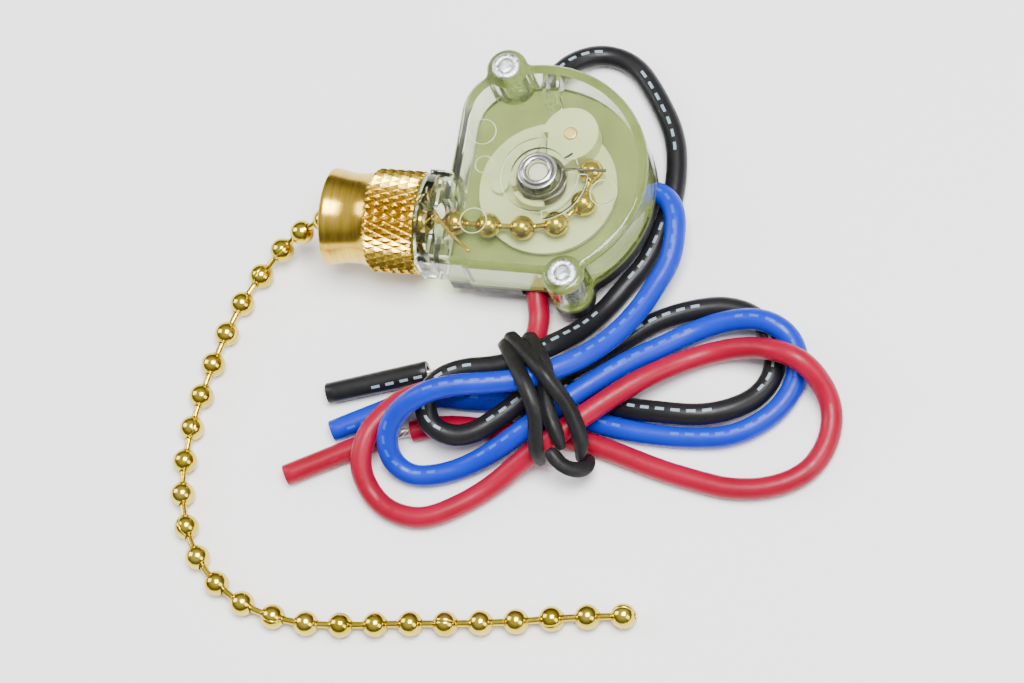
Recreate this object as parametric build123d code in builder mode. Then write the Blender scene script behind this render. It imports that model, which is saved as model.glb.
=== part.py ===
"""Pull-chain rotary switch with three leads, millimetres.

Origin: on the back face (z = 0), under the hub axis. +Z points out of the clear cover,
the threaded neck points along -X. The switch lies on the plane z = 0.
"""
from math import cos, pi, radians, sin, sqrt, tan
import os

from build123d import *

os.makedirs("parts", exist_ok=True)

# ---- housing levels and outline ----
CHAMBER_TOP = 3.4      # top of the round rear chamber
FLANGE_TOP = 6.0       # top of the insulating plate, underside of the cover
PLATE_BOTTOM = 5.3     # underside of the plate, top of the base
CEILING = 11.2         # inside of the cover's top wall
COVER_TOP = 12.4
WALL = 1.2
BODY_R = 15.1
BODY_X = -1.0          # centre of the round body
BODY_LEFT = -11.45
BODY_FOOT = -13.6
NECK_X0 = -14.2        # left end of the neck block
NECK_Y0 = -13.3
NECK_Y1 = -0.5
BASE_LEFT = -10.8
EARS = ((-6.5, 14.2), (5.4, -13.5))
EAR_R = 2.7
RIVET_HOLE_R = 1.27
RIVET_SHANK_R = 1.25
RIVET_FOOT_R = 2.0
RIVET_HEAD_R = 1.98
RIVET_HEAD = 0.6       # height of the upper rivet head
RIVET_MOUTH_R = 1.05   # hollow in the upper rivet head
RIVET_FOOT = 0.5       # height of the lower rivet head
CHAMBER_X = -0.5
CHAMBER_R = 12.5
CAVITY_R = 9.8
FLOOR = 1.2
COVER_EDGE_R = 0.8
NECK_FLOOR = 0.9       # thickness of the neck chamber's floor
RIB_DEPTH = 0.6        # drop of the ribs below the ceiling
DISC_DEPTH = 0.2       # drop of the ejector discs below the ceiling
LOOP_RIB_DEPTH = 2.6   # drop of the loop rib below the ceiling
ROOT = 0.1             # length by which a rib or disc enters the wall

# ---- neck, nipple and nut ----
AXIS_Y = -6.85         # neck and nut axis
AXIS_Z = 8.8
SHOULDER_R = 6.5
SHOULDER_X1 = -12.6
NIPPLE_R = 4.7
NIPPLE_END = -22.5
NIPPLE_BORE_R = 2.6
THREAD_PITCH = 0.94
THREAD_DEPTH = 0.35
NUT_X0 = -14.4
NUT_X1 = -27.0
NUT_R = 6.75
NUT_WAIST_R = 5.86
NUT_MOUTH_R = 6.3
NUT_BORE_R = 4.78
NUT_SEAT_X = -22.9

# ---- chain ----
BEAD_R = 1.6
LINK_R = 0.45
PITCH = 4.42           # inside the switch
FREE_PITCH = 4.5       # hanging chain, links pulled out
WRAP_R = 6.4           # radius of the wrapped chain about the hub
CHAIN_Y = -6.6
FREE_BEADS = 26

# ---- wheel and mechanism ----
WHEEL_R = 9.0
WHEEL_BOTTOM = 6.3
WHEEL_TOP = 7.05
BORE_R = 1.7
CORE_R = 4.0
PIN_AT = (2.86, 6.42)
PIN_R = 0.9
PIN_ANGLE = 66.0
PIN_ORBIT = 7.03
TRAVEL_DEG = 60.1
BARREL_R = 1.6
HUB_CLEAR = 0.02       # play between the barrel and the cover or base
EYELET_HOLE_R = 1.3
EYELET_FOOT_R = 2.5
EYELET_HEAD_R = 2.57
EYELET_LIP_R = 2.05
EYELET_BOTTOM = 0.1
EYELET_FLANGE = 0.4    # thickness of the two eyelet flanges
EYELET_LIP = 0.2
PLATE_HOLE_R = 2.0
LOBE_SLOT_R = 1.2      # half width of the pin's slot in the plate
POCKET_R = 3.3         # spring pocket in the wheel
POCKET_FLOOR = 7.3
ARC_INSIDE_R = 3.1
ARC_TOP = 9.6
LOBE_TOP = 9.8
PIN_BOTTOM = 2.0
PIN_LENGTH = 8.0
PAWL_BOTTOM = 2.6
TOOTH_BOTTOM = 2.5
TOOTH_HEIGHT = 2.3     # same height for the pawl
ROTOR_BOTTOM = 1.75
ROTOR_DISC_R = 4.2
ROTOR_TEETH = 6
ROTOR_R = 5.6
ROTOR_ROOT_R = 4.5

# ---- leads ----
LEAD_R = 1.38
WIRE_R = 0.6
PORT_R = LEAD_R + 0.07
LEAD_Z = 3.8           # height of the leads inside the base
TIE_R = 0.75

# Lead routes, hand-chosen centre-line points from inside the port to the free end.
BLACK_ROUTE = [
    (-3.4, 12.2, 3.8), (-2.7, 16.2, 3.8), (-0.5, 20.0, 2.6), (3.5, 22.0, 1.4), (8.0, 20.5, 1.4),
    (11.5, 16.0, 1.4), (14.5, 11.0, 1.4), (15.5, 6.0, 1.4), (15.5, 1.0, 1.4), (14.5, -3.5, 1.4),
    (13.5, -7.0, 1.4), (11.5, -10.0, 1.4), (9.3, -13.6, 1.4), (6.9, -17.4, 2.8), (4.0, -21.2, 6.7),
    (0.5, -24.0, 7.6), (-3.0, -25.0, 7.4), (-6.5, -25.5, 7.4), (-9.5, -27.0, 7.3), (-11.0, -29.5, 7.0),
    (-10.5, -32.5, 5.2), (-7.5, -33.7, 4.5), (-4.5, -33.0, 4.5), (-1.5, -30.5, 4.5), (1.5, -27.5, 4.6),
    (5.0, -24.5, 4.8), (8.0, -21.0, 2.0), (12.0, -18.0, 1.4), (15.5, -15.0, 1.4), (20.0, -13.0, 1.4),
    (24.5, -12.0, 1.4), (28.5, -13.0, 1.4), (31.0, -16.0, 1.4), (32.0, -20.0, 1.4), (30.5, -23.5, 1.4),
    (27.5, -26.0, 2.4), (23.5, -27.5, 3.2), (18.5, -27.5, 3.2), (13.5, -27.0, 1.9), (8.5, -25.5, 1.4),
    (3.0, -24.5, 1.4), (-2.0, -24.4, 1.4), (-5.8, -24.75, 1.5), (-9.2, -24.8, 1.8),
]
BLUE_ROUTE = [
    (12.2, 2.0, 3.8), (14.6, 1.9, 3.9), (16.8, -0.9, 5.1), (17.3, -4.4, 4.9), (17.0, -8.0, 4.4),
    (15.5, -11.5, 4.4), (14.0, -15.0, 4.8), (11.5, -19.0, 5.6), (8.5, -22.5, 7.0), (5.0, -25.0, 8.2),
    (1.0, -27.0, 9.0), (-3.0, -28.0, 9.8), (-7.0, -28.8, 10.3), (-10.5, -30.2, 10.3), (-14.0, -32.0, 7.8),
    (-15.6, -34.5, 5.4), (-15.2, -37.0, 2.6), (-12.5, -38.5, 1.4), (-9.0, -38.0, 1.4), (-5.5, -36.5, 1.4),
    (-1.5, -34.5, 3.4), (2.5, -31.5, 5.0), (6.0, -28.0, 4.7), (9.5, -25.0, 4.6), (13.0, -22.0, 4.2),
    (17.0, -19.0, 3.0), (21.0, -16.0, 2.0), (25.5, -14.5, 3.2), (30.0, -14.5, 4.8), (33.5, -16.0, 4.2),
    (35.0, -19.0, 2.4), (34.5, -22.5, 1.4), (32.3, -26.2, 1.4), (27.9, -29.3, 1.4), (22.5, -30.0, 1.4),
    (17.5, -30.0, 1.4), (12.5, -29.6, 1.4), (8.0, -28.5, 1.4), (2.5, -28.0, 1.4), (-2.5, -27.4, 1.4),
    (-7.5, -27.7, 1.4), (-11.0, -27.5, 1.5), (-13.5, -28.0, 1.6),
]
RED_ROUTE = [
    (0.1, -11.8, 3.8), (0.5, -14.0, 3.6), (1.0, -16.2, 2.8), (1.0, -19.0, 2.8), (0.0, -21.5, 3.6),
    (-1.8, -23.7, 4.4), (-5.0, -25.5, 4.4), (-8.5, -27.0, 4.4), (-12.0, -28.0, 4.4), (-14.8, -29.5, 4.4),
    (-17.0, -31.9, 4.4), (-18.7, -35.0, 4.4), (-18.9, -38.7, 3.2), (-17.0, -41.7, 1.4), (-14.0, -43.6, 1.4),
    (-10.0, -44.0, 1.4), (-6.0, -42.0, 1.4), (-2.0, -39.0, 1.4), (1.5, -35.7, 2.6), (5.5, -33.0, 4.8),
    (9.0, -29.7, 5.0), (12.5, -26.5, 4.8), (16.0, -23.5, 4.2), (20.0, -20.5, 2.6), (24.0, -18.5, 2.0),
    (28.5, -18.0, 3.6), (33.0, -19.0, 6.0), (36.5, -20.3, 5.6), (39.0, -22.7, 2.4), (40.0, -26.0, 1.4),
    (39.5, -30.0, 1.4), (37.5, -33.3, 1.4), (33.5, -35.5, 1.4), (28.5, -36.2, 1.4), (24.0, -35.5, 1.4),
    (19.0, -34.5, 1.4), (14.0, -33.0, 1.4), (9.0, -31.7, 1.4), (4.0, -31.2, 1.4), (-1.0, -31.5, 1.4),
    (-6.0, -31.2, 1.4), (-10.5, -31.5, 1.4), (-13.5, -32.5, 1.4),
]
# Slipped-off insulation slugs at the free ends.
SLUGS = {
    "black": ((-12.5, -24.5, 2.2), (-25.5, -28.5, 1.4)),
    "blue": ((-15.5, -29.0, 1.5), (-24.0, -33.5, 1.4)),
    "red": ((-17.0, -33.5, 1.4), (-29.0, -40.0, 1.4)),
}
# Where each stripped inner end meets its terminal: point, terminal angle.
TERMINALS = {
    "black": ((-3.6, 8.75, 3.8), 112.4),
    "blue": ((9.25, 1.8, 3.8), 11.0),
    "red": ((0.0, -9.4, 3.8), -90.0),
}
# Plastic tie around the folded leads: four strands.
TIE_ROUTES = [
    [
        (-3.4, -18.9, 0.9), (-2.9, -20.2, 4.6), (-1.4, -21.9, 8.4), (0.5, -24.1, 10.6),
        (2.1, -26.4, 11.6), (2.8, -28.3, 10.2), (3.3, -30.2, 7.5), (3.7, -32.3, 6.9),
        (4.0, -34.4, 6.8), (4.5, -36.0, 5.0), (5.0, -36.7, 2.5),
    ],
    [
        (-1.6, -18.2, 1.6), (-0.9, -19.0, 5.2), (1.2, -20.5, 8.8), (3.0, -23.0, 10.3),
        (4.6, -25.4, 11.0), (5.9, -27.2, 9.2), (7.1, -28.7, 7.4), (8.4, -30.5, 7.4),
        (9.4, -32.3, 6.4), (9.5, -33.9, 3.6),
    ],
    [
        (4.3, -27.7, 9.6), (4.9, -28.8, 7.6), (5.6, -30.0, 7.2), (6.5, -31.8, 7.3),
        (7.1, -33.4, 6.8),
    ],
    [
        (5.9, -34.9, 6.3), (7.2, -35.4, 4.0), (8.8, -36.0, 1.9), (10.5, -35.5, 1.0),
    ],
]
# Free chain, from the last bead inside the nut to its end on the surface.
CHAIN_ROUTE = [
    (-23.7, -6.6, 8.8), (-28.0, -7.1, 8.6), (-31.2, -8.0, 6.2), (-34.3, -9.2, 3.4),
    (-36.9, -12.0, 1.6), (-39.2, -16.5, 1.6), (-40.9, -22.5, 1.6), (-42.2, -29.0, 1.6),
    (-42.9, -36.0, 1.6), (-42.6, -43.0, 1.6), (-40.4, -49.5, 1.6), (-36.5, -54.5, 1.6),
    (-31.0, -57.8, 1.6), (-24.5, -59.2, 1.6), (-17.5, -58.8, 1.6), (-10.0, -57.7, 1.6),
    (-2.5, -56.9, 1.6), (5.0, -55.8, 1.6), (11.5, -54.5, 1.6), (17.9, -53.7, 1.6),
]


# ---- helpers ----
def polar(radius, degrees):
    return (radius * cos(radians(degrees)), radius * sin(radians(degrees)))


def route_radii(points):
    """One bend radius per inner point: 0.45 of the shorter run over tan(turn / 2)."""
    radii = []
    for before, here, after in zip(points[:-2], points[1:-1], points[2:]):
        run_in = Vector(*here) - Vector(*before)
        run_out = Vector(*after) - Vector(*here)
        turn = radians(run_in.get_angle(run_out))
        radii.append(0.45 * min(run_in.length, run_out.length) / tan(turn / 2))
    return radii


def route_wire(points):
    with BuildLine() as line:
        FilletPolyline(*points, radius=route_radii(points))
    return Wire(line.edges())


def tube_along(points, radius):
    """Round tube on a route. Returns the solid and its centre-line length."""
    path = route_wire(points)
    direction = Vector(*points[1]) - Vector(*points[0])
    with BuildPart() as tube:
        with BuildSketch(Plane(origin=points[0], z_dir=direction)):
            Circle(radius)
        sweep(path=path)
    return tube.part, path.length


def rod(start, end, radius):
    """Straight round rod between two points."""
    a = Vector(*start)
    b = Vector(*end)
    with BuildPart() as piece:
        with BuildSketch(Plane(origin=a, z_dir=b - a)):
            Circle(radius)
        extrude(amount=(b - a).length)
    return piece.part


def link_between(start, end, gap_start=BEAD_R - 0.1, gap_end=BEAD_R - 0.1):
    """Chain link that stops a given distance short of each bead centre."""
    a = Vector(*start)
    b = Vector(*end)
    along = (b - a).normalized()
    return rod(a + along * gap_start, b - along * gap_end, LINK_R)


def ring_sector(r_in, r_out, start, end):
    """Flat ring sector about the hub, angles in degrees."""
    middle = (start + end) / 2
    with BuildSketch() as sector:
        with BuildLine():
            ThreePointArc(polar(r_out, start), polar(r_out, middle), polar(r_out, end))
            Line(polar(r_out, end), polar(r_in, end))
            ThreePointArc(polar(r_in, end), polar(r_in, middle), polar(r_in, start))
            Line(polar(r_in, start), polar(r_out, start))
        make_face()
    return sector.sketch


def body_outline(inset, left):
    """Round body with flat left and lower sides, without ears or neck."""
    with BuildSketch() as outline:
        with Locations((BODY_X, 0)):
            Circle(BODY_R - inset)
        with Locations((left + inset - 20, 0)):
            Rectangle(40, 80, mode=Mode.SUBTRACT)
        with Locations((0, BODY_FOOT + inset - 20)):
            Rectangle(80, 40, mode=Mode.SUBTRACT)
        corner = outline.vertices().sort_by_distance((left + inset, 11.0 - inset, 0))[0]
        fillet(corner, radius=6.0 - inset)
    return outline.sketch


def housing_outline(left):
    """Outer outline with ears and the part of the neck block right of `left`."""
    width = -5.0 - left
    with BuildSketch() as outline:
        add(body_outline(0.0, max(left, BODY_LEFT)))
        with Locations((left + width / 2, (NECK_Y0 + NECK_Y1) / 2)):
            Rectangle(width, NECK_Y1 - NECK_Y0)
        with Locations(*EARS):
            Circle(EAR_R)
        for (ear_x, ear_y) in EARS:
            dx = ear_x - BODY_X
            reach = sqrt(dx * dx + ear_y * ear_y)
            along = (reach * reach + BODY_R * BODY_R - EAR_R * EAR_R) / (2 * reach)
            off = sqrt(BODY_R * BODY_R - along * along)
            ux = dx / reach
            uy = ear_y / reach
            for side in (1, -1):
                spot = (BODY_X + along * ux - side * off * uy, along * uy + side * off * ux, 0)
                corner = outline.vertices().sort_by_distance(spot)[0]
                if (Vector(corner) - Vector(*spot)).length < 0.05:
                    fillet(corner, radius=1.0)
        foot_corner = outline.vertices().sort_by_distance((EARS[1][0] - EAR_R, BODY_FOOT, 0))[0]
        fillet(foot_corner, radius=1.0)
    return outline.sketch


COVER_FACE = housing_outline(NECK_X0)
BASE_FACE = housing_outline(BASE_LEFT)
COVER_CAVITY = body_outline(WALL, BODY_LEFT)
LOBE_SLOT = ring_sector(PIN_ORBIT - LOBE_SLOT_R, PIN_ORBIT + LOBE_SLOT_R, PIN_ANGLE - TRAVEL_DEG, PIN_ANGLE)
COLLAR_ARC = ring_sector(3.7, 5.05, 40, 370)
GUIDE_ARC = ring_sector(5.05, 6.2, -78, 5)
ROUTES = {"black": BLACK_ROUTE, "blue": BLUE_ROUTE, "red": RED_ROUTE}
BEAD_D = (*polar(WRAP_R, 16.0), AXIS_Z)
BEAD_C = (*polar(WRAP_R, -24.4), AXIS_Z)
BEAD_B = (*polar(WRAP_R, -64.8), AXIS_Z)
STRAIGHT_BEADS = [(-1.62 - PITCH * step, CHAIN_Y, AXIS_Z) for step in range(5)]
NUT_AXIS = Axis((0, AXIS_Y, AXIS_Z), (1, 0, 0))

# ---- clear front cover with neck and threaded nipple ----
with BuildPart() as front_cover:
    with BuildSketch(Plane.XY.offset(FLANGE_TOP)):
        add(COVER_FACE)
    extrude(amount=COVER_TOP - FLANGE_TOP)
    rim = front_cover.faces().sort_by(Axis.Z)[-1].outer_wire().edges()
    fillet(rim, radius=COVER_EDGE_R)
    with BuildSketch(Plane.XY.offset(FLANGE_TOP)):
        add(COVER_CAVITY)
        for (ear_x, ear_y) in EARS:
            with Locations((ear_x, ear_y)):
                Circle(EAR_R, mode=Mode.SUBTRACT)
    extrude(amount=CEILING - FLANGE_TOP, mode=Mode.SUBTRACT)
    with BuildSketch(Plane.XY.offset(FLANGE_TOP)):
        with Locations((-7.5, -8.0)):
            Rectangle(6.6, 8.2)
    extrude(amount=CEILING - FLANGE_TOP, mode=Mode.SUBTRACT)
    # neck chamber, with its own floor left of the base
    with BuildSketch(Plane.XY.offset(FLANGE_TOP + NECK_FLOOR)):
        with Locations((-11.5, -6.9)):
            Rectangle(1.9, 10.4)
    extrude(amount=CEILING - FLANGE_TOP - NECK_FLOOR, mode=Mode.SUBTRACT)
    # slotted guide wall the chain passes
    with BuildSketch(Plane.XY.offset(FLANGE_TOP + NECK_FLOOR)):
        with Locations((-11.5, -10.9)):
            Rectangle(0.8, 2.6)
        with Locations((-11.5, -3.0)):
            Rectangle(0.8, 2.8)
    extrude(amount=CEILING - FLANGE_TOP - NECK_FLOOR)
    # shoulder disc and nipple
    with BuildSketch(Plane(origin=(NECK_X0, AXIS_Y, AXIS_Z), z_dir=(1, 0, 0))):
        Circle(SHOULDER_R)
    extrude(amount=SHOULDER_X1 - NECK_X0)
    with BuildSketch(Plane(origin=(NIPPLE_END, AXIS_Y, AXIS_Z), z_dir=(1, 0, 0))):
        Circle(NIPPLE_R)
    extrude(amount=NECK_X0 - NIPPLE_END + 0.2)
    with BuildSketch(Plane(origin=(NIPPLE_END, AXIS_Y, AXIS_Z), z_dir=(1, 0, 0))):
        Circle(NIPPLE_BORE_R)
    extrude(amount=-12.2 - NIPPLE_END, mode=Mode.SUBTRACT)
    # thread turns, as rings
    with BuildSketch(Plane(origin=(0, AXIS_Y, AXIS_Z), x_dir=(1, 0, 0), z_dir=(0, 0, 1))):
        for turn in range(8):
            root_x = NIPPLE_END + 0.7 + turn * THREAD_PITCH
            with BuildLine():
                Polyline(
                    (root_x, NIPPLE_R - THREAD_DEPTH),
                    (root_x + 0.4, NIPPLE_R + 0.2),
                    (root_x - 0.4, NIPPLE_R + 0.2),
                    close=True,
                )
            make_face()
    revolve(axis=NUT_AXIS, mode=Mode.SUBTRACT)
    # ceiling features: collar, guide rib, ejector discs, top rib
    with BuildSketch(Plane.XY.offset(CEILING - RIB_DEPTH)):
        add(COLLAR_ARC)
        add(GUIDE_ARC)
    extrude(amount=RIB_DEPTH + ROOT)
    for (disc_x, disc_y, disc_r) in ((-8.3, 5.3, 1.7), (-7.3, 0.75, 1.17), (8.7, -1.8, 1.7)):
        with BuildSketch(Plane.XY.offset(CEILING - DISC_DEPTH)):
            with Locations((disc_x, disc_y)):
                Circle(disc_r)
        extrude(amount=DISC_DEPTH + ROOT)
    with BuildSketch(Plane.XY.offset(CEILING - LOOP_RIB_DEPTH)):
        with Locations(Location((-0.35, 12.2), 99)):
            SlotCenterToCenter(3.2, 2.3)
            SlotCenterToCenter(3.2, 1.3, mode=Mode.SUBTRACT)
    extrude(amount=LOOP_RIB_DEPTH + ROOT)
    # rivet and eyelet holes
    with BuildSketch(Plane.XY.offset(FLANGE_TOP)):
        with Locations(*EARS):
            Circle(RIVET_HOLE_R)
        Circle(BARREL_R + HUB_CLEAR)
    extrude(amount=COVER_TOP - FLANGE_TOP + 1, mode=Mode.SUBTRACT)

# ---- black rear base ----
PORTS = []
for colour, route in ROUTES.items():
    port, _ = tube_along(route[:4], PORT_R)
    inner = rod(route[0], TERMINALS[colour][0], PORT_R)
    PORTS.append(port)
    PORTS.append(inner)

with BuildPart() as rear_base:
    with BuildSketch(Plane.XY):
        with Locations((CHAMBER_X, 0)):
            Circle(CHAMBER_R)
    extrude(amount=CHAMBER_TOP)
    fillet(rear_base.faces().sort_by(Axis.Z)[0].edges(), radius=0.5)
    with BuildSketch(Plane.XY.offset(CHAMBER_TOP)):
        add(BASE_FACE)
    extrude(amount=PLATE_BOTTOM - CHAMBER_TOP)
    with BuildSketch(Plane.XY.offset(FLOOR)):
        Circle(CAVITY_R)
    extrude(amount=PLATE_BOTTOM - FLOOR, mode=Mode.SUBTRACT)
    for cutter in PORTS:
        add(cutter, mode=Mode.SUBTRACT)
    # ports stay open up to the plate
    with BuildSketch(Plane.XY.offset(LEAD_Z)):
        with Locations(Location((-3.0, 12.6), 80)):
            Rectangle(8.0, 2 * PORT_R)
        with Locations(Location((12.4, 1.9), 0)):
            Rectangle(7.0, 2 * PORT_R)
        with Locations(Location((0.1, -12.2), 90)):
            Rectangle(6.0, 2 * PORT_R)
    extrude(amount=PLATE_BOTTOM - LEAD_Z, mode=Mode.SUBTRACT)
    with BuildSketch(Plane.XY):
        Circle(BARREL_R + HUB_CLEAR)
        with Locations(*EARS):
            Circle(RIVET_HOLE_R)
    extrude(amount=FLANGE_TOP, mode=Mode.SUBTRACT)
    with BuildSketch(Plane.XY):
        Circle(2.75)
    extrude(amount=0.5, mode=Mode.SUBTRACT)

# ---- insulating plate, clamped between base and cover over their whole outline ----
with BuildPart() as insulating_plate:
    with BuildSketch(Plane.XY.offset(PLATE_BOTTOM)):
        add(BASE_FACE)
        Circle(PLATE_HOLE_R, mode=Mode.SUBTRACT)
        add(LOBE_SLOT, mode=Mode.SUBTRACT)
        with Locations(polar(PIN_ORBIT, PIN_ANGLE), polar(PIN_ORBIT, PIN_ANGLE - TRAVEL_DEG)):
            Circle(LOBE_SLOT_R, mode=Mode.SUBTRACT)
        with Locations(*EARS):
            Circle(RIVET_HOLE_R, mode=Mode.SUBTRACT)
    extrude(amount=FLANGE_TOP - PLATE_BOTTOM)

# ---- cream chain wheel ----
with BuildPart() as chain_wheel:
    with BuildSketch(Plane.XY.offset(WHEEL_BOTTOM)):
        with Locations((0.4, -0.2)):
            Circle(WHEEL_R)
    extrude(amount=WHEEL_TOP - WHEEL_BOTTOM)
    with BuildSketch(Plane.XY.offset(WHEEL_TOP)):
        Circle(CORE_R)
    extrude(amount=0.4)
    for (arc_start, arc_end) in ((112, 200), (215, 285)):
        with BuildSketch(Plane.XY.offset(WHEEL_TOP)):
            add(ring_sector(ARC_INSIDE_R, CORE_R - 0.05, arc_start, arc_end))
        extrude(amount=ARC_TOP - WHEEL_TOP)
    # raised lobe that carries the drive pin
    with BuildSketch(Plane.XY.offset(WHEEL_TOP)):
        with Locations(PIN_AT):
            Circle(3.6)
        with BuildLine():
            Polyline(polar(2.9, 96), polar(7.2, 89), (6.0, 5.0), polar(2.9, 34), close=True)
        make_face()
    extrude(amount=LOBE_TOP - WHEEL_TOP)
    for (pad_angle, pad_r) in ((117, 5.7), (186, 5.7)):
        with BuildSketch(Plane.XY.offset(WHEEL_TOP)):
            with Locations(polar(pad_r, pad_angle)):
                Circle(1.1)
        extrude(amount=0.9)
    with BuildSketch(Plane.XY.offset(WHEEL_TOP)):
        with Locations((BEAD_D[0], BEAD_D[1])):
            Circle(1.5)
    extrude(amount=0.6)
    with BuildSketch(Plane.XY.offset(POCKET_FLOOR)):
        Circle(POCKET_R)
    extrude(amount=4, mode=Mode.SUBTRACT)
    with BuildSketch(Plane.XY.offset(WHEEL_BOTTOM)):
        Circle(BORE_R)
        with Locations(PIN_AT):
            Circle(PIN_R)
    extrude(amount=4, mode=Mode.SUBTRACT)
    # slot for the spring's lower leg
    with BuildSketch(Plane.XY.offset(7.35)):
        with Locations(Location((-0.28, 4.6), 95.5)):
            Rectangle(3.6, 0.8)
    extrude(amount=3, mode=Mode.SUBTRACT)

# ---- drive pin and pawl ----
with BuildPart() as drive_pin:
    with BuildSketch(Plane.XY.offset(PIN_BOTTOM)):
        with Locations(PIN_AT):
            Circle(PIN_R)
    extrude(amount=PIN_LENGTH)
    fillet(drive_pin.faces().sort_by(Axis.Z)[-1].edges(), radius=0.25)

PAWL_SHAPE = ((5.78, -0.2), (6.4, 1.4), (8.3, 1.4), (8.3, -1.4), (6.7, -1.4))
with BuildPart() as pawl:
    with BuildSketch(Plane.XY.offset(PAWL_BOTTOM).rotated((0, 0, PIN_ANGLE))):
        with BuildLine():
            Polyline(*PAWL_SHAPE, close=True)
        make_face()
    extrude(amount=TOOTH_HEIGHT)
    with BuildSketch(Plane.XY.offset(PAWL_BOTTOM)):
        with Locations(PIN_AT):
            Circle(PIN_R)
    extrude(amount=TOOTH_HEIGHT, mode=Mode.SUBTRACT)

# ---- return spring: torsion coil with two legs ----
COIL_R = 2.9
SPRING_WIRE_R = 0.2
COIL_LOW = 7.6
COIL_HIGH = 10.75
COIL_TURNS = 6.8
COIL_START = 92.0
coil_edge = Helix(
    pitch=(COIL_HIGH - COIL_LOW) / COIL_TURNS,
    height=COIL_HIGH - COIL_LOW,
    radius=COIL_R,
    center=(0, 0, COIL_LOW),
).rotate(Axis.Z, COIL_START)
with BuildPart() as return_spring:
    with BuildSketch(Plane(origin=coil_edge @ 0, z_dir=coil_edge % 0)):
        Circle(SPRING_WIRE_R)
    sweep(path=coil_edge, is_frenet=True)
    add(rod(coil_edge @ 1, (8.5, 1.26, COIL_HIGH), SPRING_WIRE_R))
    add(rod(coil_edge @ 0, (-0.45, 6.1, COIL_LOW), SPRING_WIRE_R))

# ---- eyelet through the hub ----
with BuildPart() as centre_eyelet:
    with BuildSketch(Plane.XY.offset(EYELET_BOTTOM)):
        Circle(BARREL_R)
    extrude(amount=COVER_TOP + 0.5 - EYELET_BOTTOM)
    with BuildSketch(Plane.XY.offset(EYELET_BOTTOM)):
        Circle(EYELET_FOOT_R)
    extrude(amount=EYELET_FLANGE)
    with BuildSketch(Plane.XY.offset(COVER_TOP)):
        Circle(EYELET_HEAD_R)
    extrude(amount=EYELET_FLANGE)
    with BuildSketch(Plane.XY.offset(COVER_TOP + EYELET_FLANGE)):
        Circle(EYELET_LIP_R)
    extrude(amount=EYELET_LIP)
    fillet(centre_eyelet.faces().sort_by(Axis.Z)[-1].outer_wire().edges(), radius=0.15)
    with BuildSketch(Plane.XY):
        Circle(EYELET_HOLE_R)
    extrude(amount=COVER_TOP + 2, mode=Mode.SUBTRACT)

# ---- two tubular rivets ----
with BuildPart() as housing_rivets:
    with BuildSketch(Plane.XY.offset(CHAMBER_TOP - RIVET_FOOT)):
        with Locations(*EARS):
            Circle(RIVET_FOOT_R)
    extrude(amount=RIVET_FOOT)
    with BuildSketch(Plane.XY.offset(CHAMBER_TOP - RIVET_FOOT)):
        with Locations(*EARS):
            Circle(RIVET_SHANK_R)
    extrude(amount=COVER_TOP - CHAMBER_TOP + RIVET_FOOT)
    with BuildSketch(Plane.XY.offset(COVER_TOP)):
        with Locations(*EARS):
            Circle(RIVET_HEAD_R)
    extrude(amount=RIVET_HEAD)
    crowns = housing_rivets.faces().filter_by(Axis.Z).group_by(Axis.Z)[-1].edges()
    fillet(crowns, radius=0.35)
    with BuildSketch(Plane.XY.offset(COVER_TOP + RIVET_HEAD)):
        with Locations(*EARS):
            Circle(RIVET_MOUTH_R)
    extrude(amount=-1.1, mode=Mode.SUBTRACT)

# ---- rotary contact: ratchet rotor and bridge ----
TOOTH_POINTS = []
for tooth in range(ROTOR_TEETH):
    heel = 360.0 / ROTOR_TEETH * tooth + 20
    TOOTH_POINTS.append(polar(ROTOR_ROOT_R, heel))
    TOOTH_POINTS.append(polar((ROTOR_R + ROTOR_ROOT_R) / 2, heel + 24))
    TOOTH_POINTS.append(polar(ROTOR_R, heel + 50))
with BuildPart() as ratchet_rotor:
    with BuildSketch(Plane.XY.offset(ROTOR_BOTTOM)):
        Circle(ROTOR_DISC_R)
    extrude(amount=TOOTH_BOTTOM - ROTOR_BOTTOM)
    with BuildSketch(Plane.XY.offset(TOOTH_BOTTOM)):
        with BuildLine():
            Polyline(*TOOTH_POINTS, close=True)
        make_face()
    extrude(amount=TOOTH_HEIGHT)
    with BuildSketch(Plane.XY.offset(TOOTH_BOTTOM + TOOTH_HEIGHT)):
        Circle(2.6)
    extrude(amount=0.3)
    with BuildSketch(Plane.XY.offset(ROTOR_BOTTOM)):
        Circle(BORE_R)
    extrude(amount=4, mode=Mode.SUBTRACT)

with BuildPart() as contact_bridge:
    with BuildSketch(Plane.XY.offset(1.45)):
        Circle(ROTOR_DISC_R)
        with Locations(Location((0, 0), 70)):
            SlotOverall(12.4, 2.4)
        Circle(2.2, mode=Mode.SUBTRACT)
    extrude(amount=0.3)


def terminal(colour):
    """Upright plate by the cavity wall with a foot that reaches towards the rotor."""
    angle = TERMINALS[colour][1]
    with BuildPart() as clip:
        with BuildSketch(Plane.XY.offset(FLOOR).rotated((0, 0, angle))):
            with Locations((9.2, 0)):
                Rectangle(0.4, 3.0)
        extrude(amount=3.8)
        with BuildSketch(Plane.XY.offset(FLOOR).rotated((0, 0, angle))):
            with Locations((7.9, 0)):
                Rectangle(2.6, 2.2)
        extrude(amount=0.3)
    return clip.part


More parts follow.
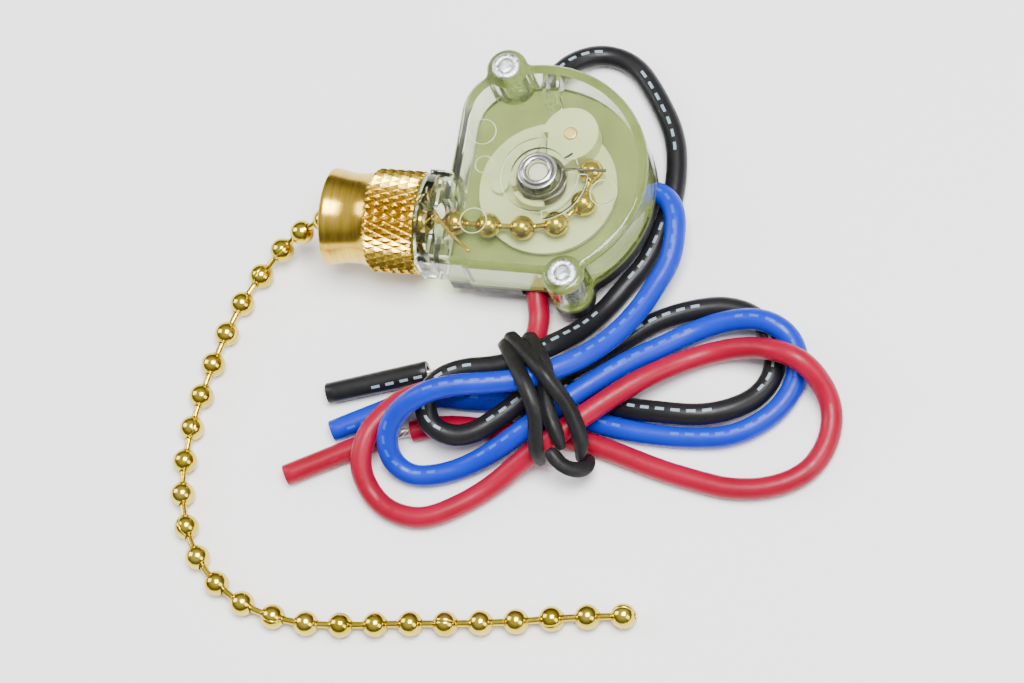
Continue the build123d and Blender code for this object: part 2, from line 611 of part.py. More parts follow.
def stripped_ends(colour):
    """Bare strands: the inner stub, and the stretch across to the slug."""
    route = ROUTES[colour]
    start, stop = SLUGS[colour]
    tail = (Vector(*route[-1]) - Vector(*route[-2])).normalized()
    inner_dir = (Vector(*route[1]) - Vector(*route[0])).normalized()
    end = Vector(*route[-1])
    mouth = Vector(*start)
    slug_dir = (Vector(*stop) - mouth).normalized()
    bridge = [end - tail * 0.6, end + tail * 0.4, mouth + slug_dir * 0.4, Vector(*stop) - slug_dir * 1.2]
    bridge_solid, _ = tube_along([tuple(point) for point in bridge], WIRE_R)
    with BuildPart() as strands:
        add(rod(Vector(*route[0]) + inner_dir * 0.6, TERMINALS[colour][0], WIRE_R))
        add(bridge_solid)
    return strands.part


def slug(colour):
    start, stop = SLUGS[colour]
    a = Vector(*start)
    b = Vector(*stop)
    with BuildPart() as sleeve:
        with BuildSketch(Plane(origin=a, z_dir=b - a)):
            Circle(LEAD_R)
            Circle(WIRE_R, mode=Mode.SUBTRACT)
        extrude(amount=(b - a).length)
    return sleeve.part


with BuildPart() as terminal_black:
    add(terminal("black"))
with BuildPart() as terminal_blue:
    add(terminal("blue"))
with BuildPart() as terminal_red:
    add(terminal("red"))

# ---- detent spring strip beside the rotor ----
with BuildPart() as detent_spring:
    with BuildSketch(Plane.XY.offset(2.8)):
        add(ring_sector(5.9, 6.15, 185, 250))
        with Locations(Location(polar(7.95, 185.6), 185.6)):
            Rectangle(3.9, 0.3)
    extrude(amount=1.6)

# ---- knurled brass nut ----
with BuildPart() as knurled_nut:
    with BuildSketch(Plane(origin=(0, AXIS_Y, AXIS_Z), x_dir=(1, 0, 0), z_dir=(0, 0, 1))):
        with BuildLine():
            Polyline(
                (NUT_SEAT_X, NIPPLE_BORE_R),
                (NUT_SEAT_X, NUT_BORE_R),
                (NUT_X0, NUT_BORE_R),
                (NUT_X0, NUT_R - 0.35),
                (NUT_X0 - 0.35, NUT_R),
                (-20.7, NUT_R),
                (-21.05, NUT_R - 0.4),
            )
            Spline((-21.05, NUT_R - 0.4), (-24.0, NUT_WAIST_R), (-26.6, NUT_MOUTH_R))
            Polyline(
                (-26.6, NUT_MOUTH_R),
                (NUT_X1, NUT_MOUTH_R - 0.25),
                (NUT_X1, 4.7),
                (-26.5, 4.3),
                (-25.0, NIPPLE_BORE_R),
                (NUT_SEAT_X, NIPPLE_BORE_R),
            )
        make_face()
    revolve(axis=NUT_AXIS)

# ---- wire guide over the chain ----
GUIDE_R = 0.22
GUIDE_POINTS = [(-13.9, -4.6, 10.85), (-12.6, -6.5, 10.85), (-10.1, -9.2, 10.85), (-7.3, -11.2, 10.85)]
guide_solid, guide_length = tube_along(GUIDE_POINTS, GUIDE_R)
with BuildPart() as chain_guide:
    add(guide_solid)

# ---- chain ----
with BuildPart() as wheel_beads:
    for spot in (BEAD_D, BEAD_C):
        with Locations(spot):
            Sphere(BEAD_R)
with BuildPart() as wheel_links:
    add(link_between(BEAD_D, BEAD_C))
    add(link_between(BEAD_C, BEAD_B, gap_end=BEAD_R + 0.25))
with BuildPart() as neck_beads:
    for spot in [BEAD_B] + STRAIGHT_BEADS:
        with Locations(spot):
            Sphere(BEAD_R)
with BuildPart() as neck_links:
    for first, second in zip([BEAD_B] + STRAIGHT_BEADS[:-1], STRAIGHT_BEADS):
        add(link_between(first, second))
    add(link_between(STRAIGHT_BEADS[-1], CHAIN_ROUTE[0]))
chain_solid, chain_length = tube_along(CHAIN_ROUTE, LINK_R)
with BuildPart() as chain_links:
    add(chain_solid)
chain_path = route_wire(CHAIN_ROUTE)
with BuildPart() as chain_beads:
    for index in range(FREE_BEADS + 1):
        spot = chain_path.position_at(index * FREE_PITCH, position_mode=PositionMode.LENGTH)
        with Locations(spot):
            Sphere(BEAD_R)

# ---- leads, stripped ends, slugs and tie ----
black_solid, black_length = tube_along(BLACK_ROUTE, LEAD_R)
blue_solid, blue_length = tube_along(BLUE_ROUTE, LEAD_R)
red_solid, red_length = tube_along(RED_ROUTE, LEAD_R)
with BuildPart() as black_lead:
    add(black_solid)
with BuildPart() as blue_lead:
    add(blue_solid)
with BuildPart() as red_lead:
    add(red_solid)
with BuildPart() as black_conductor:
    add(stripped_ends("black"))
with BuildPart() as blue_conductor:
    add(stripped_ends("blue"))
with BuildPart() as red_conductor:
    add(stripped_ends("red"))
with BuildPart() as black_slug:
    add(slug("black"))
with BuildPart() as blue_slug:
    add(slug("blue"))
with BuildPart() as red_slug:
    add(slug("red"))
with BuildPart() as wire_tie:
    for strand in TIE_ROUTES:
        strand_solid, _ = tube_along(strand, TIE_R)
        add(strand_solid)

# ---- report the bends and the tube volumes, then export ----
for label, points, radius, solid, length in (
    ("black lead", BLACK_ROUTE, LEAD_R, black_solid, black_length),
    ("blue lead", BLUE_ROUTE, LEAD_R, blue_solid, blue_length),
    ("red lead", RED_ROUTE, LEAD_R, red_solid, red_length),
    ("free chain", CHAIN_ROUTE, LINK_R, chain_solid, chain_length),
    ("chain guide", GUIDE_POINTS, GUIDE_R, guide_solid, guide_length),
):
    print(label, "length %.1f" % length, "bend radii", [round(r, 1) for r in route_radii(points)])
    print("  volume / (section x length) = %.4f" % (solid.volume / (pi * radius ** 2 * length)))

PIECES = {
    "front_cover": front_cover,
    "rear_base": rear_base,
    "insulating_plate": insulating_plate,
    "chain_wheel": chain_wheel,
    "drive_pin": drive_pin,
    "pawl": pawl,
    "return_spring": return_spring,
    "centre_eyelet": centre_eyelet,
    "housing_rivets": housing_rivets,
    "ratchet_rotor": ratchet_rotor,
    "contact_bridge": contact_bridge,
    "terminal_black": terminal_black,
    "terminal_blue": terminal_blue,
    "terminal_red": terminal_red,
    "detent_spring": detent_spring,
    "knurled_nut": knurled_nut,
    "chain_guide": chain_guide,
    "wheel_beads": wheel_beads,
    "wheel_links": wheel_links,
    "neck_beads": neck_beads,
    "neck_links": neck_links,
    "chain_beads": chain_beads,
    "chain_links": chain_links,
    "black_lead": black_lead,
    "blue_lead": blue_lead,
    "red_lead": red_lead,
    "black_conductor": black_conductor,
    "blue_conductor": blue_conductor,
    "red_conductor": red_conductor,
    "black_slug": black_slug,
    "blue_slug": blue_slug,
    "red_slug": red_slug,
    "wire_tie": wire_tie,
}
for name, piece in PIECES.items():
    piece.part.label = name
    export_step(piece.part, "parts/" + name + ".step")
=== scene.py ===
"""Pull-chain switch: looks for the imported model. All places are in metres, in the CAD frame."""
import math

import bpy
from mathutils import Matrix, Vector


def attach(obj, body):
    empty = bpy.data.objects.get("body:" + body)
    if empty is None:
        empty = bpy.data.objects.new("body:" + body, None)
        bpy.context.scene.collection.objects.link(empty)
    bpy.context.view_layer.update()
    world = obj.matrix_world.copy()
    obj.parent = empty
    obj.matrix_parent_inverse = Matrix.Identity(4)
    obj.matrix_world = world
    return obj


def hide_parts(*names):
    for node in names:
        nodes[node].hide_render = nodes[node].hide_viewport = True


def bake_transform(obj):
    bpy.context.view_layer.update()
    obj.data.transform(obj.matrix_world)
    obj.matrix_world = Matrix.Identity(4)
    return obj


MM = 0.001
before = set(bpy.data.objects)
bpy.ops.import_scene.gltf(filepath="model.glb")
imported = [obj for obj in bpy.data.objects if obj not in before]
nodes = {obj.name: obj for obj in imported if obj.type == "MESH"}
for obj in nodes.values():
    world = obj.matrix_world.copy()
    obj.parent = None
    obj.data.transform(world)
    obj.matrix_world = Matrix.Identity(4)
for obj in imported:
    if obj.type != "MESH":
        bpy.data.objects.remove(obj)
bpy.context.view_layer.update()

# ---- sizes shared with the solids, millimetres ----
AXIS_Y = -6.85
AXIS_Z = 8.8
LEAD_R = 1.38
BEAD_R = 1.6
PRINT_SIDE = 0.25      # share of a turn, on the upper side
LINK_R = 0.45
FREE_PITCH = 4.5
FREE_BEADS = 26
PITCH = 4.42           # beads inside the switch
CHAIN_Y = -6.6
FIRST_NECK_X = -1.62
WRAP_R = 6.4           # radius of the chain round the wheel
WRAP_DEGREES = (16.0, -24.4, -64.8)
EARS = ((-6.5, 14.2), (5.4, -13.5))

BLACK_ROUTE = [
    (-3.4, 12.2, 3.8), (-2.7, 16.2, 3.8), (-0.5, 20.0, 2.6), (3.5, 22.0, 1.4), (8.0, 20.5, 1.4),
    (11.5, 16.0, 1.4), (14.5, 11.0, 1.4), (15.5, 6.0, 1.4), (15.5, 1.0, 1.4), (14.5, -3.5, 1.4),
    (13.5, -7.0, 1.4), (11.5, -10.0, 1.4), (9.3, -13.6, 1.4), (6.9, -17.4, 2.8), (4.0, -21.2, 6.7),
    (0.5, -24.0, 7.6), (-3.0, -25.0, 7.4), (-6.5, -25.5, 7.4), (-9.5, -27.0, 7.3), (-11.0, -29.5, 7.0),
    (-10.5, -32.5, 5.2), (-7.5, -33.7, 4.5), (-4.5, -33.0, 4.5), (-1.5, -30.5, 4.5), (1.5, -27.5, 4.6),
    (5.0, -24.5, 4.8), (8.0, -21.0, 2.0), (12.0, -18.0, 1.4), (15.5, -15.0, 1.4), (20.0, -13.0, 1.4),
    (24.5, -12.0, 1.4), (28.5, -13.0, 1.4), (31.0, -16.0, 1.4), (32.0, -20.0, 1.4), (30.5, -23.5, 1.4),
    (27.5, -26.0, 2.4), (23.5, -27.5, 3.2), (18.5, -27.5, 3.2), (13.5, -27.0, 1.9), (8.5, -25.5, 1.4),
    (3.0, -24.5, 1.4), (-2.0, -24.4, 1.4), (-5.8, -24.75, 1.5), (-9.2, -24.8, 1.8),
]
BLUE_ROUTE = [
    (12.2, 2.0, 3.8), (14.6, 1.9, 3.9), (16.8, -0.9, 5.1), (17.3, -4.4, 4.9), (17.0, -8.0, 4.4),
    (15.5, -11.5, 4.4), (14.0, -15.0, 4.8), (11.5, -19.0, 5.6), (8.5, -22.5, 7.0), (5.0, -25.0, 8.2),
    (1.0, -27.0, 9.0), (-3.0, -28.0, 9.8), (-7.0, -28.8, 10.3), (-10.5, -30.2, 10.3), (-14.0, -32.0, 7.8),
    (-15.6, -34.5, 5.4), (-15.2, -37.0, 2.6), (-12.5, -38.5, 1.4), (-9.0, -38.0, 1.4), (-5.5, -36.5, 1.4),
    (-1.5, -34.5, 3.4), (2.5, -31.5, 5.0), (6.0, -28.0, 4.7), (9.5, -25.0, 4.6), (13.0, -22.0, 4.2),
    (17.0, -19.0, 3.0), (21.0, -16.0, 2.0), (25.5, -14.5, 3.2), (30.0, -14.5, 4.8), (33.5, -16.0, 4.2),
    (35.0, -19.0, 2.4), (34.5, -22.5, 1.4), (32.3, -26.2, 1.4), (27.9, -29.3, 1.4), (22.5, -30.0, 1.4),
    (17.5, -30.0, 1.4), (12.5, -29.6, 1.4), (8.0, -28.5, 1.4), (2.5, -28.0, 1.4), (-2.5, -27.4, 1.4),
    (-7.5, -27.7, 1.4), (-11.0, -27.5, 1.5), (-13.5, -28.0, 1.6),
]
RED_ROUTE = [
    (0.1, -11.8, 3.8), (0.5, -14.0, 3.6), (1.0, -16.2, 2.8), (1.0, -19.0, 2.8), (0.0, -21.5, 3.6),
    (-1.8, -23.7, 4.4), (-5.0, -25.5, 4.4), (-8.5, -27.0, 4.4), (-12.0, -28.0, 4.4), (-14.8, -29.5, 4.4),
    (-17.0, -31.9, 4.4), (-18.7, -35.0, 4.4), (-18.9, -38.7, 3.2), (-17.0, -41.7, 1.4), (-14.0, -43.6, 1.4),
    (-10.0, -44.0, 1.4), (-6.0, -42.0, 1.4), (-2.0, -39.0, 1.4), (1.5, -35.7, 2.6), (5.5, -33.0, 4.8),
    (9.0, -29.7, 5.0), (12.5, -26.5, 4.8), (16.0, -23.5, 4.2), (20.0, -20.5, 2.6), (24.0, -18.5, 2.0),
    (28.5, -18.0, 3.6), (33.0, -19.0, 6.0), (36.5, -20.3, 5.6), (39.0, -22.7, 2.4), (40.0, -26.0, 1.4),
    (39.5, -30.0, 1.4), (37.5, -33.3, 1.4), (33.5, -35.5, 1.4), (28.5, -36.2, 1.4), (24.0, -35.5, 1.4),
    (19.0, -34.5, 1.4), (14.0, -33.0, 1.4), (9.0, -31.7, 1.4), (4.0, -31.2, 1.4), (-1.0, -31.5, 1.4),
    (-6.0, -31.2, 1.4), (-10.5, -31.5, 1.4), (-13.5, -32.5, 1.4),
]
CHAIN_ROUTE = [
    (-23.7, -6.6, 8.8), (-28.0, -7.1, 8.6), (-31.2, -8.0, 6.2), (-34.3, -9.2, 3.4),
    (-36.9, -12.0, 1.6), (-39.2, -16.5, 1.6), (-40.9, -22.5, 1.6), (-42.2, -29.0, 1.6),
    (-42.9, -36.0, 1.6), (-42.6, -43.0, 1.6), (-40.4, -49.5, 1.6), (-36.5, -54.5, 1.6),
    (-31.0, -57.8, 1.6), (-24.5, -59.2, 1.6), (-17.5, -58.8, 1.6), (-10.0, -57.7, 1.6),
    (-2.5, -56.9, 1.6), (5.0, -55.8, 1.6), (11.5, -54.5, 1.6), (17.9, -53.7, 1.6),
]
SLUGS = {
    "black": ((-12.5, -24.5, 2.2), (-25.5, -28.5, 1.4)),
    "blue": ((-15.5, -29.0, 1.5), (-24.0, -33.5, 1.4)),
    "red": ((-17.0, -33.5, 1.4), (-29.0, -40.0, 1.4)),
}
TERMINAL_POINTS = {
    "black": (-3.6, 8.75, 3.8),
    "blue": (9.25, 1.8, 3.8),
    "red": (0.0, -9.4, 3.8),
}
TIE_ROUTES = [
    [
        (-2.5, -20.5, 3.0), (-2.2, -21.0, 6.0), (-1.3, -22.2, 8.2), (0.2, -24.3, 9.6),
        (2.2, -27.3, 11.0), (3.8, -30.0, 10.5), (4.3, -32.0, 9.2), (4.3, -34.0, 7.6),
        (4.5, -35.7, 6.0), (5.0, -36.0, 4.2),
    ],
    [
        (-2.0, -19.5, 3.0), (-1.8, -20.2, 6.0), (-0.8, -21.2, 8.2), (1.8, -23.5, 10.0),
        (4.4, -26.0, 11.3), (6.2, -27.8, 10.6), (8.0, -29.5, 8.8), (9.4, -32.0, 7.0),
        (10.0, -34.0, 5.6), (9.2, -35.0, 3.8),
    ],
    [
        (0.5, -19.3, 3.0), (0.6, -20.0, 6.0), (1.6, -21.0, 8.2), (3.8, -23.8, 10.2),
        (5.0, -26.0, 10.0), (4.8, -28.5, 8.8), (5.5, -30.7, 7.8), (6.7, -32.7, 7.2),
        (7.5, -34.5, 6.0),
    ],
    [
        (6.0, -34.8, 6.8), (7.0, -36.0, 6.2), (8.4, -36.7, 5.4), (9.9, -36.5, 4.4),
        (10.6, -35.2, 3.2), (9.8, -33.8, 2.0),
    ],
]


# ---- camera ----
def make_camera():
    eye = Vector((96.785, -149.412, 371.880)) * MM
    target = Vector((-1.215, -20.852, 6.0)) * MM
    back = (eye - target).normalized()
    right = Vector((0.0, 1.0, 0.0)).cross(back).normalized()
    up = back.cross(right)
    roll = Matrix.Rotation(math.radians(9.82), 3, back)
    right, up = roll @ right, roll @ up
    data = bpy.data.cameras.new("camera")
    data.lens = 111.09
    data.sensor_width = 36.0
    data.clip_start = 0.01
    camera = bpy.data.objects.new("camera", data)
    camera.matrix_world = Matrix.Translation(eye) @ Matrix((right, up, back)).transposed().to_4x4()
    bpy.context.scene.collection.objects.link(camera)
    bpy.context.scene.camera = camera


# ---- material helpers ----
def shader_nodes(name):
    """New material with a Principled shader. Returns material, node tree and shader."""
    material = bpy.data.materials.new(name)
    material.use_nodes = True
    tree = material.node_tree
    shader = tree.nodes["Principled BSDF"]
    return material, tree, shader


def add_node(tree, kind, **settings):
    node = tree.nodes.new(kind)
    for key, value in settings.items():
        if key in node.inputs:
            node.inputs[key].default_value = value
        else:
            setattr(node, key, value)
    return node


def coordinates(tree, stretch=(1.0, 1.0, 1.0), source="Object"):
    """Texture coordinates scaled along each axis."""
    coords = add_node(tree, "ShaderNodeTexCoord")
    mapping = add_node(tree, "ShaderNodeMapping")
    mapping.inputs["Scale"].default_value = stretch
    tree.links.new(coords.outputs[source], mapping.inputs["Vector"])
    return mapping.outputs["Vector"]


def noise(tree, vector, scale, detail=3.0, rough=0.5):
    node = add_node(tree, "ShaderNodeTexNoise", Scale=scale, Detail=detail, Roughness=rough)
    tree.links.new(vector, node.inputs["Vector"])
    return node.outputs["Fac"]


def ramp(tree, value, stops):
    """Colour ramp with (position, colour) stops."""
    node = add_node(tree, "ShaderNodeValToRGB")
    elements = node.color_ramp.elements
    while len(elements) < len(stops):
        elements.new(0.5)
    for element, (position, colour) in zip(elements, stops):
        element.position = position
        element.color = (*colour, 1.0)
    tree.links.new(value, node.inputs["Fac"])
    return node.outputs["Color"]


def spread(tree, value, low, high, from_low=0.35, from_high=0.65):
    """Noise stretched to the range low to high."""
    node = add_node(tree, "ShaderNodeMapRange")
    node.inputs["From Min"].default_value = from_low
    node.inputs["From Max"].default_value = from_high
    node.inputs["To Min"].default_value = low
    node.inputs["To Max"].default_value = high
    tree.links.new(value, node.inputs["Value"])
    return node.outputs["Result"]


def bump(tree, shader, height, strength, distance):
    node = add_node(tree, "ShaderNodeBump", Strength=strength, Distance=distance)
    tree.links.new(height, node.inputs["Height"])
    tree.links.new(node.outputs["Normal"], shader.inputs["Normal"])


def shade(name, dark, light, rough, scale, bump_by, metallic=0.0, stretch=(1, 1, 1), grain=None, **sockets):
    """Two-tone noisy material: colour, roughness and bump vary over the surface."""
    material, tree, shader = shader_nodes(name)
    vector = coordinates(tree, stretch)
    tone = noise(tree, vector, scale)
    colour = ramp(tree, tone, ((0.32, dark), (0.68, light)))
    tree.links.new(colour, shader.inputs["Base Color"])
    fine = noise(tree, vector, grain or scale * 6.0, 4.0, 0.6)
    tree.links.new(spread(tree, fine, *rough), shader.inputs["Roughness"])
    bump(tree, shader, fine, bump_by[0], bump_by[1])
    shader.inputs["Metallic"].default_value = metallic
    for key, value in sockets.items():
        shader.inputs[key.replace("_", " ")].default_value = value
    return material


def clear_plastic():
    """Clear moulding, faint yellow-green, that lets the lamps' light through."""
    material, tree, shader = shader_nodes("clear_cover")
    vector = coordinates(tree)
    cloud = noise(tree, vector, 90.0)
    colour = ramp(tree, cloud, ((0.3, (0.90, 0.94, 0.80)), (0.7, (0.96, 0.98, 0.90))))
    tree.links.new(colour, shader.inputs["Base Color"])
    ripple = noise(tree, vector, 350.0, 2.0)
    tree.links.new(spread(tree, ripple, 0.03, 0.10), shader.inputs["Roughness"])
    bump(tree, shader, ripple, 0.12, 0.0002)
    shader.inputs["Transmission Weight"].default_value = 1.0
    shader.inputs["IOR"].default_value = 1.46
    see_through = add_node(tree, "ShaderNodeBsdfTransparent")
    see_through.inputs["Color"].default_value = (0.90, 0.95, 0.82, 1.0)
    path = add_node(tree, "ShaderNodeLightPath")
    straight = add_node(tree, "ShaderNodeMath", operation="MAXIMUM")
    mix = add_node(tree, "ShaderNodeMixShader")
    output = tree.nodes["Material Output"]
    tree.links.new(path.outputs["Is Shadow Ray"], straight.inputs[0])
    tree.links.new(path.outputs["Is Diffuse Ray"], straight.inputs[1])
    tree.links.new(straight.outputs["Value"], mix.inputs["Fac"])
    tree.links.new(shader.outputs["BSDF"], mix.inputs[1])
    tree.links.new(see_through.outputs["BSDF"], mix.inputs[2])
    tree.links.new(mix.outputs["Shader"], output.inputs["Surface"])
    return material


def insulation(name, dark, light, mark):
    """Extruded wire insulation with a row of plain printed dashes along its top side."""
    material, tree, shader = shader_nodes(name)
    vector = coordinates(tree)
    tone = noise(tree, vector, 120.0)
    colour = ramp(tree, tone, ((0.3, dark), (0.7, light)))
    uv = add_node(tree, "ShaderNodeUVMap", uv_map="along")
    split = add_node(tree, "ShaderNodeSeparateXYZ")
    tree.links.new(uv.outputs["UV"], split.inputs["Vector"])
    along, around = split.outputs["X"], split.outputs["Y"]

    def math_node(operation, first, second):
        node = add_node(tree, "ShaderNodeMath", operation=operation)
        for index, value in enumerate((first, second)):
            if isinstance(value, (int, float)):
                node.inputs[index].default_value = value
            else:
                tree.links.new(value, node.inputs[index])
        return node.outputs["Value"]

    off_centre = math_node("ABSOLUTE", math_node("SUBTRACT", around, PRINT_SIDE), 0)

    def every(pitch, run):
        return math_node("LESS_THAN", math_node("MODULO", along, pitch), run)

    def within(reach):
        return math_node("LESS_THAN", off_centre, reach)

    dashes = math_node("MULTIPLY", every(1.9, 1.1), within(0.022))
    mask = math_node("MULTIPLY", dashes, every(19.0, 12.5))
    paint = add_node(tree, "ShaderNodeMix", data_type="RGBA")
    tree.links.new(mask, paint.inputs["Factor"])
    tree.links.new(colour, paint.inputs["A"])
    paint.inputs["B"].default_value = (*mark, 1.0)
    tree.links.new(paint.outputs["Result"], shader.inputs["Base Color"])
    fine = noise(tree, vector, 1500.0, 3.0)
    tree.links.new(spread(tree, fine, 0.30, 0.42), shader.inputs["Roughness"])
    bump(tree, shader, fine, 0.10, 0.0001)
    shader.inputs["Specular IOR Level"].default_value = 0.22
    return material


# ---- mesh helpers ----
def route_points(name, points):
    """Points of a NURBS spline through the route's control points, in metres."""
    curve = bpy.data.curves.new(name, "CURVE")
    curve.dimensions = "3D"
    curve.resolution_u = 10
    spline = curve.splines.new("NURBS")
    spline.points.add(len(points) - 1)
    for control, place in zip(spline.points, points):
        control.co = (*(Vector(place) * MM), 1.0)
    spline.order_u = 3
    spline.use_endpoint_u = True
    holder = bpy.data.objects.new(name, curve)
    mesh = bpy.data.meshes.new_from_object(holder)
    path = [vertex.co.copy() for vertex in mesh.vertices]
    bpy.data.objects.remove(holder)
    bpy.data.curves.remove(curve)
    bpy.data.meshes.remove(mesh)
    return path


def path_length(path):
    return sum((b - a).length for a, b in zip(path[:-1], path[1:]))


def point_at(path, distance):
    """Point and direction on a path, a distance from its start."""
    for a, b in zip(path[:-1], path[1:]):
        step = (b - a).length
        if distance <= step:
            return a.lerp(b, distance / step), (b - a).normalized()
        distance -= step
    return path[-1].copy(), (path[-1] - path[-2]).normalized()


def tangents(path):
    result = []
    for index in range(len(path)):
        before = path[max(index - 1, 0)]
        after = path[min(index + 1, len(path) - 1)]
        result.append((after - before).normalized())
    return result


def upright_frames(path):
    """Side and upper directions square to the path, the upper one nearest to +Z."""
    frames = []
    last_side = None
    for along in tangents(path):
        side = along.cross(Vector((0, 0, 1)))
        if side.length < 0.25 and last_side is not None:
            side = last_side - along * last_side.dot(along)
        side.normalize()
        last_side = side
        frames.append((side, side.cross(along).normalized()))
    return frames


def mesh_object(name, verts, faces, material, body, cad_nodes=()):
    mesh = bpy.data.meshes.new(name)
    mesh.from_pydata(verts, [], faces)
    mesh.validate()
    mesh.update()
    for polygon in mesh.polygons:
        polygon.use_smooth = True
    piece = bpy.data.objects.new(name, mesh)
    bpy.context.scene.collection.objects.link(piece)
    piece.data.materials.append(material)
    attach(piece, body)
    if cad_nodes:
        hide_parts(*cad_nodes)
    return piece


def sharp_edges(piece, angle=32):
    """Keeps machined edges crisp."""
    for polygon in piece.data.polygons:
        polygon.use_smooth = True
    piece.data.set_sharp_from_angle(angle=math.radians(angle))


def sweep_section(path, frames, section):
    """Closed section swept along a path. section(i) gives the (side, upper) offsets at point i."""
    verts = []
    faces = []
    rings = len(path)
    sides = len(section(0))
    for index, (place, (side, upper)) in enumerate(zip(path, frames)):
        for (a, b) in section(index):
            verts.append(place + side * a + upper * b)
    for ring in range(rings - 1):
        for k in range(sides):
            first = ring * sides + k
            second = ring * sides + (k + 1) % sides
            faces.append((first, second, second + sides, first + sides))
    faces.append(tuple(reversed(range(sides))))
    faces.append(tuple(range((rings - 1) * sides, rings * sides)))
    return verts, faces


def circle_section(radius, sides):
    angles = [2 * math.pi * k / sides for k in range(sides)]
    return [(radius * math.cos(a), radius * math.sin(a)) for a in angles]


def join_parts(parts):
    """Several (verts, faces) lists as one."""
    verts = []
    faces = []
    for part_verts, part_faces in parts:
        base = len(verts)
        verts.extend(part_verts)
        faces.extend(tuple(base + index for index in face) for face in part_faces)
    return verts, faces


def mark_along(piece, path, sides):
    """UV map for a swept tube: millimetres along, and share of the turn around."""
    travelled = [0.0]
    for a, b in zip(path[:-1], path[1:]):
        travelled.append(travelled[-1] + (b - a).length / MM)
    layer = piece.data.uv_layers.new(name="along")
    for polygon in piece.data.polygons:
        corners = [piece.data.loops[i].vertex_index for i in polygon.loop_indices]
        columns = [index % sides for index in corners]
        wraps = max(columns) - min(columns) > sides // 2 and len(corners) == 4
        for loop_index, vertex, column in zip(polygon.loop_indices, corners, columns):
            turn = column + sides if wraps and column == 0 else column
            layer.data[loop_index].uv = (travelled[vertex // sides], turn / sides)


def lathe(profile, origin, axis, steps=64, closed=False):
    """Surface of revolution. profile holds (distance along the axis, radius) in mm."""
    axis = Vector(axis).normalized()
    across = axis.orthogonal().normalized()
    third = axis.cross(across)
    base = Vector(origin) * MM
    verts = []
    faces = []
    for (along, radius) in profile:
        for k in range(steps):
            angle = 2 * math.pi * k / steps
            spoke = across * math.cos(angle) + third * math.sin(angle)
            verts.append(base + axis * (along * MM) + spoke * (radius * MM))
    rows = len(profile)
    last = rows if closed else rows - 1
    for row in range(last):
        for k in range(steps):
            a = row * steps + k
            b = row * steps + (k + 1) % steps
            up = ((row + 1) % rows) * steps
            faces.append((a, b, up + (k + 1) % steps, up + k))
    return verts, faces


# ---- chain beads and links ----
def bead_parts(centre, along, turn=0.0):
    """Hollow ball of rolled sheet: two pole holes with turned-in lips, and a fine seam."""
    along = along.normalized()
    across = along.orthogonal().normalized()
    third = along.cross(across)
    lip = 0.30
    profile = [(-1.30, 0.50), (-1.50, 0.52), (-1.535, 0.60)]
    count = 15
    for k in range(count):
        angle = lip + 0.115 + (math.pi - 2 * (lip + 0.115)) * k / (count - 1)
        profile.append((-BEAD_R * math.cos(angle), BEAD_R * math.sin(angle)))
    profile += [(1.535, 0.60), (1.50, 0.52), (1.30, 0.50)]
    angles = [2 * math.pi * k / 28 for k in range(1, 28)] + [-0.035, 0.0, 0.035]
    angles = sorted(a % (2 * math.pi) for a in angles)
    verts = []
    for (d, r) in profile:
        for a in angles:
            on_seam = a < 0.01 and 0.75 < r
            reach = (r - (0.05 if on_seam else 0.0)) * MM
            spoke = across * math.cos(a + turn) + third * math.sin(a + turn)
            verts.append(centre + along * (d * MM) + spoke * reach)
    faces = []
    n = len(angles)
    for row in range(len(profile) - 1):
        for k in range(n):
            a, b = row * n + k, row * n + (k + 1) % n
            faces.append((a, b, b + n, a + n))
    faces.append(tuple(reversed(range(n))))
    faces.append(tuple(range((len(profile) - 1) * n, len(profile) * n)))
    return verts, faces


def make_beads(name, places, material, body, node):
    parts = []
    for index, (centre, along) in enumerate(places):
        parts.append(bead_parts(centre, along, 2.4 * index + 0.7))
    verts, faces = join_parts(parts)
    piece = mesh_object(name, verts, faces, material, body, (node,))
    sharp_edges(piece, 50)
    return piece


def make_link(first, second, gap_first=1.45, gap_second=1.45):
    """Round pin between two beads, with a soft swelling where it enters each one."""
    a, b = Vector(first) * MM, Vector(second) * MM
    along = (b - a).normalized()
    start, stop = a + along * (gap_first * MM), b - along * (gap_second * MM)
    path = [start.lerp(stop, k / 8) for k in range(9)]
    frames = upright_frames(path)

    def section(index):
        end = abs(index - 4) / 4
        return circle_section((LINK_R - 0.07 + 0.07 * end ** 3) * MM, 16)

    return sweep_section(path, frames, section)


def on_wheel(degrees):
    angle = math.radians(degrees)
    return (WRAP_R * math.cos(angle), WRAP_R * math.sin(angle), AXIS_Z)


